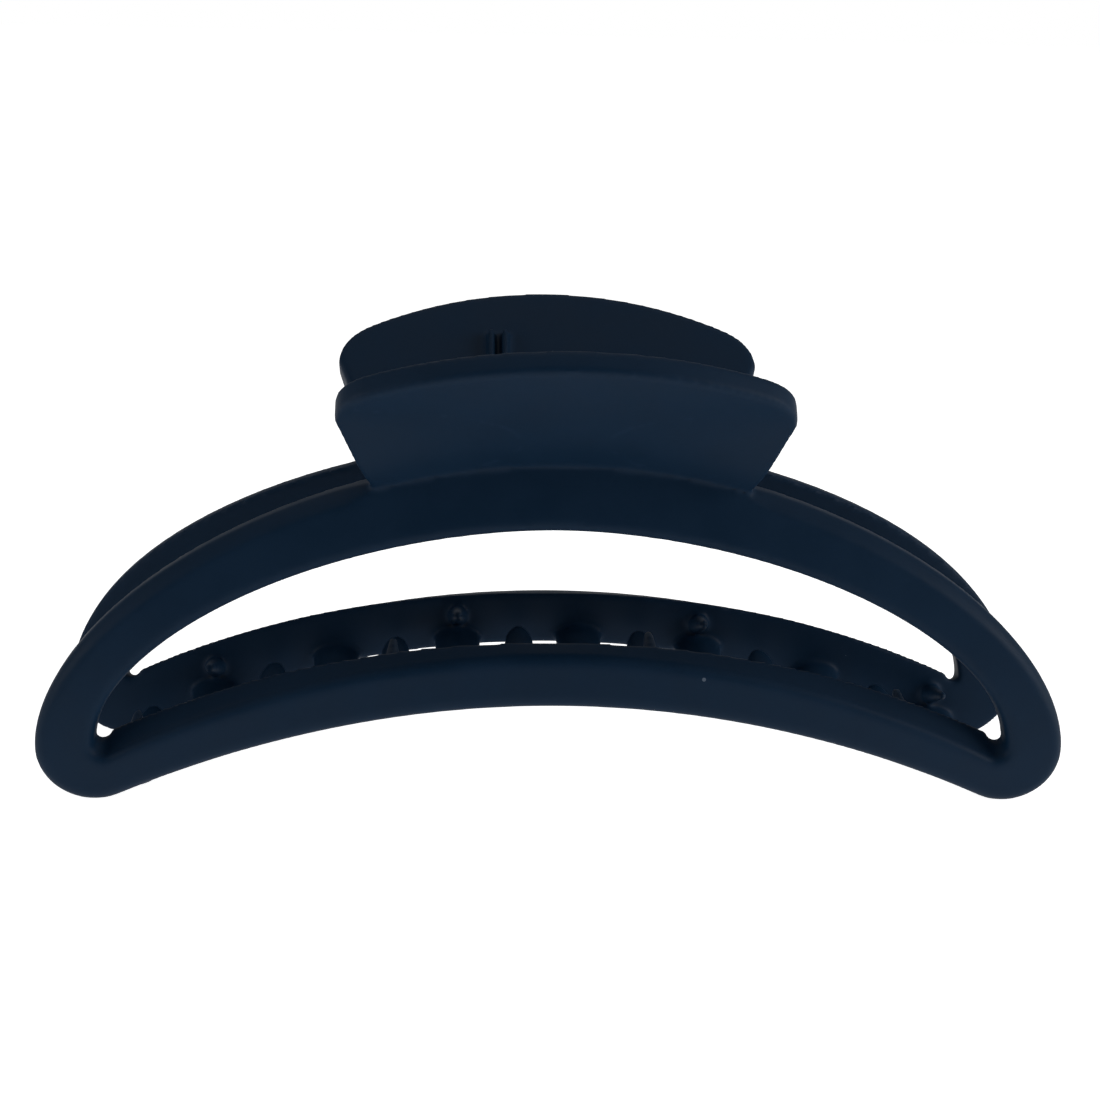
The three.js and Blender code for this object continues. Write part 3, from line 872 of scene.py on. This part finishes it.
def makeFloor():
    half = studio["floorSize"] / 2
    corners = np.array([[-half, -half, 0], [half, -half, 0], [half, half, 0], [-half, half, 0]], float)
    floor = makeMesh("floor", corners, np.array([[0, 1, 2, 3]]))
    material, tree, shader = startMaterial("studio_floor")
    shader.inputs["Base Color"].default_value = studio["floorColour"]
    shader.inputs["Roughness"].default_value = 1
    shader.inputs["Specular IOR Level"].default_value = 0
    shader.inputs["Emission Color"].default_value = studio["white"]
    ray = addNode(tree, "ShaderNodeLightPath")
    extra = studio["seenGlow"] - studio["floorGlow"]
    more = mathNode(tree, "MULTIPLY", ray.outputs["Is Camera Ray"], extra)
    glow = mathNode(tree, "ADD", more, studio["floorGlow"])
    tree.links.new(glow, shader.inputs["Emission Strength"])
    finish(floor, material)


def makeWorld():
    # plain white to the camera, and to the clip a dim fill with a lighter backdrop
    world = bpy.data.worlds.new("studio")
    bpy.context.scene.world = world
    world.use_nodes = True
    tree = world.node_tree
    tree.nodes.clear()
    white = {"Color": studio["white"], "Strength": studio["seenWhite"]}
    seen = addNode(tree, "ShaderNodeBackground", white).outputs[0]
    direction = addNode(tree, "ShaderNodeTexCoord").outputs["Generated"]
    side = addNode(tree, "ShaderNodeSeparateXYZ", {0: direction})
    behind = ramp(tree, side.outputs[1], studio["backdropFrom"], studio["backdropTo"])
    behind = mathNode(tree, "MULTIPLY", behind, studio["backdrop"])
    glow = mathNode(tree, "ADD", behind, studio["fill"])
    dim = {"Color": studio["fillColour"], "Strength": glow}
    fill = addNode(tree, "ShaderNodeBackground", dim).outputs[0]
    ray = addNode(tree, "ShaderNodeLightPath")
    both = addNode(tree, "ShaderNodeMixShader", {0: ray.outputs["Is Camera Ray"], 1: fill, 2: seen})
    addNode(tree, "ShaderNodeOutputWorld", {0: both.outputs[0]})


def makeLamp(name, place, aim, width, height, watts):
    light = bpy.data.lights.new(name, "AREA")
    light.shape = "RECTANGLE"
    light.size, light.size_y = width * millimetre, height * millimetre
    light.energy = watts
    lamp = bpy.data.objects.new(name, light)
    bpy.context.scene.collection.objects.link(lamp)
    place, aim = Vector(place) * millimetre, Vector(aim) * millimetre
    turned = (place - aim).to_track_quat("Z", "Y").to_matrix().to_4x4()
    lamp.matrix_world = Matrix.Translation(place) @ turned


def makeCamera():
    # orbits the aim point: turned to the left of straight ahead, raised, then rolled a little
    turn, rise, roll = studio["turn"], studio["rise"], studio["roll"]
    ahead = Vector((math.sin(turn) * math.cos(rise), math.cos(turn) * math.cos(rise), -math.sin(rise)))
    level = Vector((math.cos(turn), -math.sin(turn), 0))
    above = level.cross(ahead)
    right = math.cos(roll) * level + math.sin(roll) * above
    up = math.cos(roll) * above - math.sin(roll) * level
    place = (Vector(studio["aim"]) - ahead * studio["distance"]) * millimetre
    data = bpy.data.cameras.new("camera")
    data.sensor_width = studio["sensor"]
    data.lens = studio["lens"]
    data.shift_x, data.shift_y = studio["shift"]
    data.clip_start = studio["clipStart"] * millimetre
    camera = bpy.data.objects.new("camera", data)
    bpy.context.scene.collection.objects.link(camera)
    turned = Matrix((right, up, -ahead)).transposed().to_4x4()
    camera.matrix_world = Matrix.Translation(place) @ turned
    bpy.context.scene.camera = camera


bpy.context.scene.view_settings.view_transform = "Standard"
makeCamera()
makeWorld()
makeFloor()
for lamp in lamps:
    makeLamp(*lamp)
print("studio ready")

frontJaw = makeJaw("front_jaw_moulding")
backJaw = turnedCopy(frontJaw, "back_jaw_moulding")
triangles = len(frontJaw.data.loops) - 2 * len(frontJaw.data.polygons)
print("jaws moulded,", triangles, "triangles each")
wire = makeSpring("spring_wire")
hingePin = makePin("hinge_pin_rod")
print("spring wound and pin cut")

plasticFinish = navyPlastic()
drawn = drawnGroup()
springFinish = drawnSteel("spring_steel", drawn, steel["wireLines"])
pinFinish = drawnSteel("pin_steel", drawn, steel["rodLines"])

pieces = [
    (frontJaw, "front_jaw", "front_jaw", "navy_plastic", plasticFinish),
    (backJaw, "back_jaw", "back_jaw", "navy_plastic", plasticFinish),
    (hingePin, "back_jaw", "hinge_pin", "pin_steel", pinFinish),
    (wire, None, "torsion_spring", "spring_steel", springFinish),
]
for piece, body, node, slot, material in pieces:
    finish(piece, material)
    if body:
        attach(piece, body)
    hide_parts(node)
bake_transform(wire)
print("pieces finished and on their bodies")
